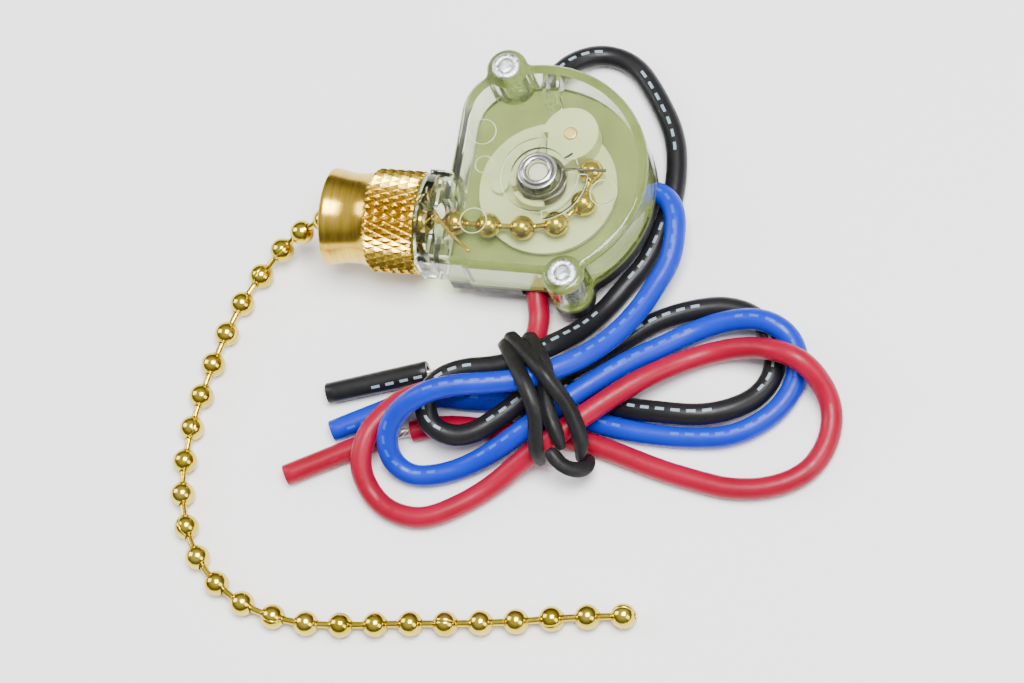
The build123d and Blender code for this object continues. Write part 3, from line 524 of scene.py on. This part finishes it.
def make_chain(material):
    path = route_points("chain_line", CHAIN_ROUTE)
    length = path_length(path)
    verts, faces = sweep_section(path, upright_frames(path), lambda i: circle_section(LINK_R * MM, 14))
    core = mesh_object("chain_core", verts, faces, material, "chain", ("chain_links",))
    places = []
    for index in range(FREE_BEADS + 1):
        distance = min(index * FREE_PITCH * MM, length - 0.0001)
        places.append(point_at(path, distance))
    beads = make_beads("chain_balls", places, material, "chain", "chain_beads")
    pull = Vector((-1, 0, 0))
    wheel_end, wheel_middle, wheel_exit = (on_wheel(degrees) for degrees in WRAP_DEGREES)
    straight = [(FIRST_NECK_X - PITCH * step, CHAIN_Y, AXIS_Z) for step in range(5)]
    row = [wheel_exit] + straight
    places = [(Vector(place) * MM, pull) for place in straight]
    places.insert(0, (Vector(wheel_exit) * MM, Vector((-0.98, -0.2, 0))))
    make_beads("neck_balls", places, material, "chain", "neck_beads")
    links = [make_link(p, q) for p, q in zip(row[:-1], row[1:])]
    links.append(make_link(straight[-1], CHAIN_ROUTE[0]))
    verts, faces = join_parts(links)
    mesh_object("neck_pins", verts, faces, material, "chain", ("neck_links",))
    places = []
    for degrees in WRAP_DEGREES[:2]:
        heading = math.radians(degrees - 90)
        places.append((Vector(on_wheel(degrees)) * MM, Vector((math.cos(heading), math.sin(heading), 0))))
    make_beads("wheel_balls", places, material, "wheel", "wheel_beads")
    verts, faces = join_parts([
        make_link(wheel_end, wheel_middle),
        make_link(wheel_middle, wheel_exit, gap_second=1.85),
    ])
    mesh_object("wheel_pins", verts, faces, material, "wheel", ("wheel_links",))


# ---- leads, strands, slugs ----
LEAD_SIDES = 24
SLUG_CHAMFER = 0.10
SLUG_END_R = 1.30
SLUG_MOUTH_R = 0.66
SLUG_BORE_R = 0.62
OUTER_STRANDS = 6
STRAND_R = 0.2
STRAND_LAY_R = 0.395   # from the middle strand to the outer ones


def make_lead(colour, route, material, copper, others=()):
    path = route_points(colour + "_line", route)
    frames = upright_frames(path)
    ring = circle_section(LEAD_R * MM, LEAD_SIDES)
    verts, faces = sweep_section(path, frames, lambda i: ring)
    tube = mesh_object(
        colour + "_wire", verts, faces, material, "housing", (colour + "_lead",)
    )
    mark_along(tube, path, LEAD_SIDES)
    sharp_edges(tube, 40)
    sleeve = make_slug(colour, material)
    strands = make_strands(colour, copper)


def make_slug(colour, material):
    """Cut sleeve of insulation, open at both ends."""
    start, stop = (Vector(point) for point in SLUGS[colour])
    length = (stop - start).length
    profile = [(0.0, SLUG_MOUTH_R), (0.0, SLUG_END_R), (SLUG_CHAMFER, LEAD_R)]
    profile += [(length * k / 12, LEAD_R) for k in range(1, 12)]
    profile += [(length - SLUG_CHAMFER, LEAD_R), (length, SLUG_END_R), (length, SLUG_MOUTH_R)]
    profile += [(length * k / 6, SLUG_BORE_R) for k in range(5, 0, -1)]
    verts, faces = lathe(profile, start, stop - start, LEAD_SIDES, closed=True)
    sleeve = mesh_object(
        colour + "_sleeve", verts, faces, material, "housing", (colour + "_slug",)
    )
    layer = sleeve.data.uv_layers.new(name="along")
    for polygon in sleeve.data.polygons:
        for loop_index in polygon.loop_indices:
            vertex = sleeve.data.loops[loop_index].vertex_index
            row = vertex // LEAD_SIDES
            layer.data[loop_index].uv = (profile[row][0] + 5.0, (vertex % LEAD_SIDES) / LEAD_SIDES)
    sharp_edges(sleeve, 40)
    return sleeve


def strand_bundle(path, turns_per_mm=0.22):
    """Seven round strands, six of them laid round the middle one."""
    frames = upright_frames(path)
    parts = []
    travelled = [0.0]
    for a, b in zip(path[:-1], path[1:]):
        travelled.append(travelled[-1] + (b - a).length / MM)
    for strand in range(OUTER_STRANDS + 1):
        line = []
        for place, (side, upper), along in zip(path, frames, travelled):
            angle = 2 * math.pi * (strand / OUTER_STRANDS + along * turns_per_mm)
            reach = 0.0 if strand == OUTER_STRANDS else STRAND_LAY_R * MM
            line.append(place + side * (reach * math.cos(angle)) + upper * (reach * math.sin(angle)))
        ring = circle_section(STRAND_R * MM, 8)
        parts.append(sweep_section(line, upright_frames(line), lambda i: ring))
    return join_parts(parts)


def dense(points, step=0.12):
    """Points every `step` mm along straight runs, in metres."""
    result = []
    for a, b in zip(points[:-1], points[1:]):
        a, b = Vector(a), Vector(b)
        count = max(2, int((b - a).length / step))
        result += [(a.lerp(b, k / count)) * MM for k in range(count)]
    result.append(Vector(points[-1]) * MM)
    return result


def make_strands(colour, copper):
    route = {"black": BLACK_ROUTE, "blue": BLUE_ROUTE, "red": RED_ROUTE}[colour]
    start, stop = (Vector(point) for point in SLUGS[colour])
    tail = (Vector(route[-1]) - Vector(route[-2])).normalized()
    slug_dir = (stop - start).normalized()
    end = Vector(route[-1])
    bridge = [
        end - tail * 0.6,
        end + tail * 0.4,
        start + slug_dir * 0.4,
        stop - slug_dir * 1.2,
    ]
    inner = (Vector(route[1]) - Vector(route[0])).normalized()
    stub = [Vector(route[0]) + inner * 0.6, Vector(TERMINAL_POINTS[colour])]
    bridge_path = route_points(colour + "_bridge", bridge)
    parts = [strand_bundle(bridge_path), strand_bundle(dense(stub))]
    verts, faces = join_parts(parts)
    return mesh_object(
        colour + "_strands", verts, faces, copper, "housing", (colour + "_conductor",)
    )


# ---- tie ----
TIE_LEAN = (0.25, -0.2, 0.15, 0.3)     # radians, one for each strand
TIE_HALF_WIDTH = 1.02
TIE_EDGE = 0.52        # half thickness at the edges of the ribbon
TIE_RIDGE = 0.20       # extra over the wire in its middle
TIE_RIDGE_WIDTH = 0.55


def make_tie(material):
    """Flattened vinyl ribbon over a wire, four strands."""
    parts = []
    for number, strand in enumerate(TIE_ROUTES):
        path = route_points("tie_line_%d" % number, strand)
        frames = upright_frames(path)
        twist = TIE_LEAN[number]
        count = len(path)

        def section(index, twist=twist, count=count):
            share = index / (count - 1)
            angle = twist * math.sin(2.2 * share * math.pi)
            reach = min(1.0, 7.0 * min(share, 1 - share))
            ends = 0.35 + 0.65 * math.sqrt(1 - (1 - reach) ** 2)
            points = []
            for k in range(20):
                turn = 2 * math.pi * k / 20
                x = TIE_HALF_WIDTH * math.cos(turn)
                half = TIE_EDGE + TIE_RIDGE * math.exp(-((x / TIE_RIDGE_WIDTH) ** 2))
                y = half * math.sin(turn)
                points.append((
                    (x * math.cos(angle) - y * math.sin(angle)) * ends * MM,
                    (x * math.sin(angle) + y * math.cos(angle)) * ends * MM,
                ))
            return points

        parts.append(sweep_section(path, frames, section))
    verts, faces = join_parts(parts)
    piece = mesh_object("twist_tie", verts, faces, material, "housing", ("wire_tie",))
    sharp_edges(piece, 60)
    return piece


# ---- knurled nut ----
KNURL_AROUND = 40
KNURL_PITCH = 2.4      # along the axis
KNURL_DEPTH = 0.44
CELLS = 10             # grid cells per diamond
NUT_R = 6.75
KNURL_START_X = -14.64
KNURL_BEVEL_X = -14.9
KNURL_TAPER_X = -20.7
KNURL_END_X = -21.2


def nut_profile():
    """(x, radius) round the closed section, from the shoulder end along the outside."""
    outside = [(-14.40, 6.30), (-14.46, 6.42)]
    x = KNURL_START_X
    step = KNURL_PITCH / CELLS
    while x > KNURL_END_X:
        radius = NUT_R
        if x > KNURL_BEVEL_X:
            radius = 6.5 + (KNURL_START_X - x) * 0.9
        if x < KNURL_TAPER_X:
            radius = NUT_R - (KNURL_TAPER_X - x) * 1.15
        outside.append((x, min(radius, NUT_R)))
        x -= step
    waist = [
        (-21.35, 6.17), (-21.8, 6.03), (-22.4, 5.92), (-23.1, 5.86), (-23.8, 5.85), (-24.5, 5.90),
        (-25.2, 6.02), (-25.8, 6.15), (-26.3, 6.27), (-26.6, 6.31), (-26.82, 6.28), (-26.95, 6.18),
        (-27.0, 6.05), (-27.0, 5.3), (-26.98, 4.85), (-26.85, 4.65), (-26.5, 4.3), (-25.9, 3.7),
        (-25.3, 3.05), (-25.0, 2.75), (-24.8, 2.62), (-24.0, 2.6), (-22.95, 2.6), (-22.9, 2.65),
        (-22.9, 4.7), (-22.8, 4.78), (-14.6, 4.78), (-14.4, 4.95),
    ]
    return outside, outside + waist


def make_nut(material):
    outside, profile = nut_profile()
    columns = KNURL_AROUND * CELLS
    base = Vector((0.0, AXIS_Y, AXIS_Z))
    verts = []
    knurl_first, knurl_last = 2, len(outside)
    for row, (x, radius) in enumerate(profile):
        for column in range(columns):
            reach = radius
            if knurl_first <= row < knurl_last:
                steps = row - knurl_first
                to_first = abs((column + steps + CELLS // 2) % CELLS - CELLS // 2)
                to_second = abs((column - steps + CELLS // 2) % CELLS - CELLS // 2)
                climb = min(to_first, to_second, CELLS * 0.42) / (CELLS / 2)
                reach = min(radius, NUT_R - KNURL_DEPTH * (1 - climb))
            angle = 2 * math.pi * column / columns
            offset = Vector((x, reach * math.sin(angle), reach * math.cos(angle)))
            verts.append((base + offset) * MM)
    faces = []
    rows = len(profile)
    for row in range(rows):
        other = (row + 1) % rows
        for column in range(columns):
            after = (column + 1) % columns
            a, b = row * columns + column, row * columns + after
            c, d = other * columns + after, other * columns + column
            if knurl_first <= row < knurl_last - 1:
                steps = row - knurl_first
                if (column - steps) % CELLS == 0:
                    faces += [(a, c, b), (a, d, c)]
                else:
                    faces += [(a, d, b), (b, d, c)]
            else:
                faces.append((a, d, c, b))
    piece = mesh_object("brass_nut", verts, faces, material, "nut", ("knurled_nut",))
    sharp_edges(piece, 24)


# ---- rivets ----
def make_rivets(material):
    """Tubular rivets through the ears: rolled-over head above, flat head below."""
    parts = []
    for (ear_x, ear_y) in EARS:
        profile = [
            (2.90, 0.0), (2.90, 1.72), (2.96, 1.90), (3.08, 1.98), (3.24, 1.98), (3.36, 1.90),
            (3.40, 1.75), (3.40, 1.24), (12.4, 1.24), (12.4, 1.5), (12.42, 1.74), (12.50, 1.83),
            (12.62, 1.84),
            (12.74, 1.76), (12.82, 1.58), (12.86, 1.36), (12.85, 1.14), (12.78, 0.98), (12.62, 0.90),
            (12.3, 0.88), (11.0, 0.86), (10.5, 0.80), (10.42, 0.55), (10.5, 0.25), (10.56, 0.0),
        ]
        parts.append(lathe(profile, (ear_x, ear_y, 0.0), (0, 0, 1), 48))
    verts, faces = join_parts(parts)
    piece = mesh_object(
        "ear_rivets", verts, faces, material, "housing", ("housing_rivets",)
    )
    sharp_edges(piece, 50)


# ---- fine moulded lines inside the cover ----
EJECTOR_RINGS = ((-8.3, 5.3, 1.72), (-7.35, 0.78, 1.17), (-7.5, -7.0, 1.72), (8.7, -1.9, 1.72))
LINE_R = 0.07
RING_LEVEL = 11.04
RIB_LEVEL = 10.62
COLLAR_R = 5.05
RIB_R = 6.2
RIB_DEGREES = (-78.0, 5.0)


def arc(radius, start, end, level, centre=(0.0, 0.0)):
    count = max(3, int(abs(end - start) / 4))
    points = []
    for k in range(count + 1):
        angle = math.radians(start + (end - start) * k / count)
        points.append((centre[0] + radius * math.cos(angle), centre[1] + radius * math.sin(angle), level))
    return [Vector(point) * MM for point in points]


def make_mould_lines(material):
    """Ejector-pin rings and the edges of the ceiling ribs, as fine pale beads: real moulded edges, drawn
    pale as a painted highlight.
    """
    parts = []
    for (x, y, radius) in EJECTOR_RINGS:
        parts.append(arc(radius, 0, 360, RING_LEVEL, (x, y)))
    parts.append(arc(COLLAR_R, 150, 365, RIB_LEVEL))
    parts.append(arc(COLLAR_R, 21, 31, RIB_LEVEL))
    parts.append(arc(RIB_R, *RIB_DEGREES, RIB_LEVEL))
    for degrees in RIB_DEGREES:
        heading = math.radians(degrees)
        ray = Vector((math.cos(heading), math.sin(heading), 0.0))
        parts.append([(ray * (COLLAR_R + 0.23 * k) + Vector((0, 0, RIB_LEVEL))) * MM for k in range(6)])
    parts.append(dense([(2.75, 2.56, RIB_LEVEL), (4.33, 2.60, RIB_LEVEL)], 0.3))
    shells = []
    for path in parts:
        ring = circle_section(LINE_R * MM, 8)
        shells.append(sweep_section(path, upright_frames(path), lambda i: ring))
    verts, faces = join_parts(shells)
    mesh_object("mould_lines", verts, faces, material, "housing", ())


# ---- guide wire over the chain ----
GUIDE_R = 0.22
GUIDE_ROUTE = [(-13.9, -4.6, 10.85), (-12.6, -6.5, 10.85), (-10.1, -9.2, 10.85), (-7.3, -11.2, 10.85)]


def make_guide(material):
    path = route_points("guide_line", GUIDE_ROUTE)
    ring = circle_section(GUIDE_R * MM, 12)
    verts, faces = sweep_section(path, upright_frames(path), lambda i: ring)
    mesh_object("guide_wire", verts, faces, material, "housing", ("chain_guide",))


# ---- return spring ----
COIL_R = 2.9
COIL_LOW = 7.6
COIL_HIGH = 10.75
COIL_TURNS = 6.8
COIL_START = 92.0
SPRING_WIRE_R = 0.2
LOWER_LEG = (-0.45, 6.1)
UPPER_LEG = (8.5, 1.26)


def rounded(points, passes=2):
    """Corner cutting on a list of points."""
    for _ in range(passes):
        cut = [points[0]]
        for a, b in zip(points[:-1], points[1:]):
            cut += [a.lerp(b, 0.25), a.lerp(b, 0.75)]
        points = cut + [points[-1]]
    return points


def make_spring(material):
    """Torsion coil with a lower and an upper leg, left unattached to any body and not bent. In the switch
    its upper leg stays in the cover while the lower one turns with the wheel.
    """
    count = int(COIL_TURNS * 30)
    coil = []
    for k in range(count + 1):
        share = k / count
        angle = math.radians(COIL_START + 360 * COIL_TURNS * share)
        level = COIL_LOW + (COIL_HIGH - COIL_LOW) * share
        coil.append(Vector((COIL_R * math.cos(angle), COIL_R * math.sin(angle), level)))
    lower = Vector((*LOWER_LEG, COIL_LOW))
    upper = Vector((*UPPER_LEG, COIL_HIGH))
    legs_in = [lower.lerp(coil[0], k / 6) for k in range(6)]
    legs_out = [coil[-1].lerp(upper, k / 8) for k in range(1, 9)]
    path = [point * MM for point in rounded(legs_in + coil + legs_out, 1)]
    ring = circle_section(SPRING_WIRE_R * MM, 10)
    verts, faces = sweep_section(path, upright_frames(path), lambda i: ring)
    mesh = bpy.data.meshes.new("torsion_spring")
    mesh.from_pydata(verts, [], faces)
    mesh.update()
    piece = bpy.data.objects.new("torsion_spring", mesh)
    bpy.context.scene.collection.objects.link(piece)
    piece.data.materials.append(material)
    sharp_edges(piece, 50)
    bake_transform(piece)
    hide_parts("return_spring")


# ---- eyelet ----
def make_eyelet(metal, plastic):
    """Tubular eyelet with a rolled head, and the pale plastic post inside it."""
    profile = [
        (0.10, 1.34), (0.10, 2.40), (0.18, 2.50), (0.42, 2.50), (0.50, 2.40), (0.50, 1.68),
        (0.60, 1.60), (12.34, 1.60), (12.40, 1.72), (12.40, 2.44), (12.46, 2.55), (12.56, 2.57),
        (12.66, 2.52), (12.70, 2.40), (12.66, 2.26), (12.66, 2.16), (12.76, 2.08), (12.90, 2.00),
        (12.98, 1.86), (13.00, 1.70), (12.95, 1.54), (12.83, 1.42), (12.62, 1.34), (12.30, 1.30),
        (6.0, 1.30), (0.30, 1.30),
    ]
    verts, faces = lathe(profile, (0.0, 0.0, 0.0), (0, 0, 1), 72, closed=True)
    piece = mesh_object("hub_eyelet", verts, faces, metal, "housing", ("centre_eyelet",))
    sharp_edges(piece, 50)
    post = [
        (9.0, 0.0), (9.0, 1.27), (11.95, 1.27), (12.05, 1.22), (12.10, 1.12), (12.11, 0.6), (12.12, 0.0),
    ]
    verts, faces = lathe(post, (0.0, 0.0, 0.0), (0, 0, 1), 48)
    plug = mesh_object("hub_post", verts, faces, plastic, "housing", ())
    sharp_edges(plug, 50)


# ---- everything together ----
make_camera()

BRASS_BEAD = shade(
    "brass_beads", (0.56, 0.41, 0.03), (0.72, 0.55, 0.08), (0.10, 0.20), 260.0, (0.15, 0.0001), metallic=1.0
)
BRASS_NUT = shade(
    "brass_nut", (0.60, 0.38, 0.03), (0.76, 0.51, 0.08), (0.16, 0.24), 160.0, (0.10, 0.0001),
    metallic=1.0, stretch=(14.0, 1.0, 1.0),
)
BRASS_SMALL = shade(
    "brass_small", (0.58, 0.36, 0.16), (0.70, 0.46, 0.24), (0.36, 0.48), 240.0, (0.06, 0.0001), metallic=1.0
)
COPPER = shade(
    "tinned_copper", (0.62, 0.50, 0.40), (0.80, 0.68, 0.56), (0.25, 0.40), 500.0, (0.2, 0.0001),
    metallic=1.0,
)
STEEL = shade(
    "spring_steel", (0.085, 0.075, 0.065), (0.16, 0.145, 0.125), (0.30, 0.42), 400.0, (0.25, 0.0001),
    metallic=1.0,
)
NICKEL = shade(
    "nickel", (0.52, 0.52, 0.50), (0.66, 0.66, 0.64), (0.16, 0.26), 300.0, (0.06, 0.0001), metallic=1.0
)
RIVET = shade(
    "rivet_metal", (0.66, 0.68, 0.70), (0.90, 0.91, 0.92), (0.18, 0.40), 420.0, (0.5, 0.0003), metallic=1.0
)
CREAM = shade(
    "cream_nylon", (0.56, 0.54, 0.32), (0.65, 0.63, 0.41), (0.34, 0.48), 140.0, (0.12, 0.0002),
    Subsurface_Weight=0.15,
)
BOARD = shade(
    "board", (0.15, 0.17, 0.042), (0.21, 0.235, 0.072), (0.42, 0.60), 220.0, (0.3, 0.0002)
)
BLACK_PLASTIC = shade(
    "black_base", (0.008, 0.008, 0.009), (0.016, 0.016, 0.018), (0.36, 0.52), 160.0, (0.4, 0.0002),
    Specular_IOR_Level=0.3,
)
TIE = shade(
    "tie_vinyl", (0.005, 0.005, 0.005), (0.011, 0.011, 0.011), (0.38, 0.50), 160.0, (0.3, 0.0002),
    Specular_IOR_Level=0.22,
)
BLACK_PVC = insulation("black_pvc", (0.006, 0.006, 0.007), (0.011, 0.011, 0.012), (0.22, 0.29, 0.34))
BLUE_PVC = insulation("blue_pvc", (0.0, 0.016, 0.38), (0.0, 0.026, 0.48), (0.03, 0.09, 0.50))
RED_PVC = insulation("red_pvc", (0.24, 0.0, 0.014), (0.32, 0.0, 0.026), (0.28, 0.001, 0.022))
CLEAR = clear_plastic()
# Pale beads over the cover's moulded edges: a painted highlight where light catches these edges.
EDGE_HIGHLIGHT = shade(
    "painted_edge_highlight", (0.80, 0.84, 0.74), (0.90, 0.93, 0.84), (0.30, 0.45), 300.0, (0.1, 0.0001),
    Transmission_Weight=0.45,
)

make_lead("black", BLACK_ROUTE, BLACK_PVC, COPPER)
make_lead("blue", BLUE_ROUTE, BLUE_PVC, COPPER)
make_lead("red", RED_ROUTE, RED_PVC, COPPER, (make_tie(TIE),))
make_chain(BRASS_BEAD)
make_nut(BRASS_NUT)
make_rivets(RIVET)
make_eyelet(NICKEL, CREAM)
make_spring(STEEL)
make_guide(BRASS_NUT)
make_mould_lines(EDGE_HIGHLIGHT)

FINISHES = {
    "front_cover": CLEAR,
    "rear_base": BLACK_PLASTIC,
    "insulating_plate": BOARD,
    "chain_wheel": CREAM,
    "ratchet_rotor": CREAM,
    "drive_pin": BRASS_SMALL,
    "pawl": BRASS_SMALL,
    "contact_bridge": BRASS_SMALL,
    "terminal_black": BRASS_SMALL,
    "terminal_blue": BRASS_SMALL,
    "terminal_red": BRASS_SMALL,
    "detent_spring": STEEL,
}
for node_name, finish in FINISHES.items():
    node = nodes[node_name]
    node.data.materials.clear()
    node.data.materials.append(finish)


# ---- floor and light ----
def make_floor():
    verts = [(x * 1.5, y * 1.5, 0.0) for (x, y) in ((-1, -1), (1, -1), (1, 1), (-1, 1))]
    mesh = bpy.data.meshes.new("floor")
    mesh.from_pydata(verts, [], [(0, 1, 2, 3)])
    floor = bpy.data.objects.new("floor", mesh)
    bpy.context.scene.collection.objects.link(floor)
    material, tree, shader = shader_nodes("floor_white")
    tone = noise(tree, coordinates(tree), 3.0)
    colour = ramp(tree, tone, ((0.3, (0.93, 0.93, 0.93)), (0.7, (0.95, 0.95, 0.95))))
    tree.links.new(colour, shader.inputs["Base Color"])
    shader.inputs["Roughness"].default_value = 0.9
    floor.data.materials.append(material)


def make_light(name, place, aim, size, watts):
    data = bpy.data.lights.new(name, "AREA")
    data.shape = "RECTANGLE"
    data.size, data.size_y = size
    data.energy = watts
    lamp = bpy.data.objects.new(name, data)
    direction = Vector(aim) - Vector(place)
    lamp.matrix_world = Matrix.Translation(place) @ direction.to_track_quat("-Z", "Y").to_matrix().to_4x4()
    bpy.context.scene.collection.objects.link(lamp)


make_floor()
make_light("top_box", (0.13, 0.0, 0.60), (0.0, -0.02, 0.0), (0.30, 0.30), 9.0)
make_light("left_box", (-0.50, 0.05, 0.35), (0.0, -0.02, 0.0), (0.25, 0.35), 2.0)
make_light("right_box", (0.50, -0.20, 0.35), (0.0, -0.02, 0.0), (0.25, 0.35), 1.5)
world = bpy.data.worlds.new("studio")
world.use_nodes = True
sky = world.node_tree
height = add_node(sky, "ShaderNodeSeparateXYZ")
sky.links.new(add_node(sky, "ShaderNodeTexCoord").outputs["Generated"], height.inputs["Vector"])
glow = ramp(sky, height.outputs["Z"], ((0.08, (0.20,) * 3), (0.42, (0.30,) * 3), (0.80, (1.0,) * 3)))
sky.links.new(glow, sky.nodes["Background"].inputs["Color"])
sky.nodes["Background"].inputs["Strength"].default_value = 0.75
bpy.context.scene.world = world

bpy.context.view_layer.update()
